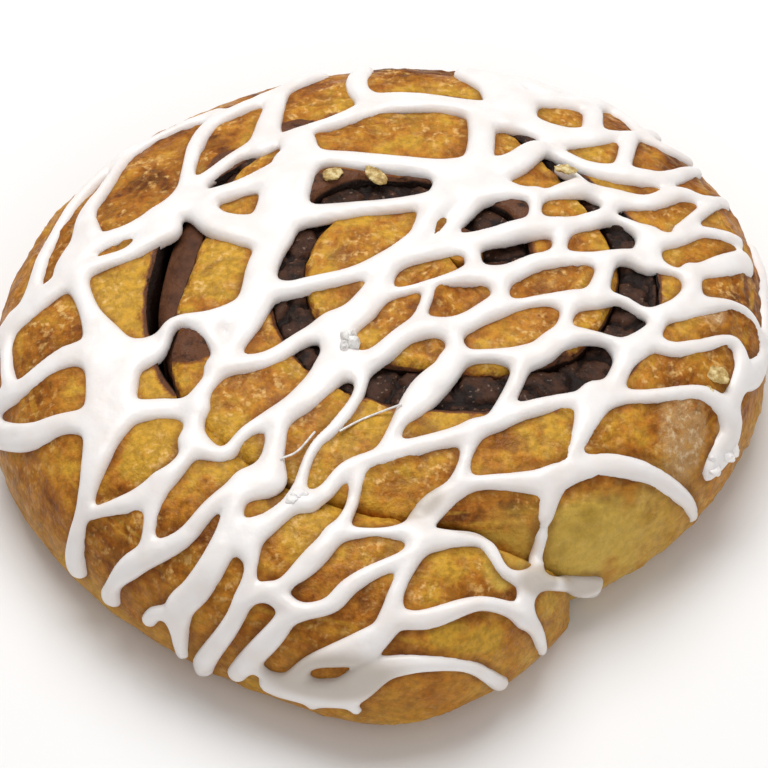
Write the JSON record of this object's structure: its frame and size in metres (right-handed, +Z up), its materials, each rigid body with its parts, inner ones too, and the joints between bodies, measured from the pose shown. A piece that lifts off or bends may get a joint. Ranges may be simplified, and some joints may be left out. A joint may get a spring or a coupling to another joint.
{
  "type": "cinnamon roll",
  "caption": "Flat round pastry: a strip of golden-brown dough rolled up round a dark cinnamon filling, with white icing drizzled over it in a web.",
  "frame": {"origin": "middle of the roll's box, on the surface it lies on", "axes": "+Z up through the flat roll, +X to the right and -Y towards the viewer, where the free end of the strip lies"},
  "size_m": [0.1184, 0.1197, 0.0311],
  "materials": {
    "dough": "satin",
    "icing": "satin",
    "filling": "satin"
  },
  "bodies": {
    "root": {"dough": "dough", "filling": "filling"}
  },
  "joints": []
}
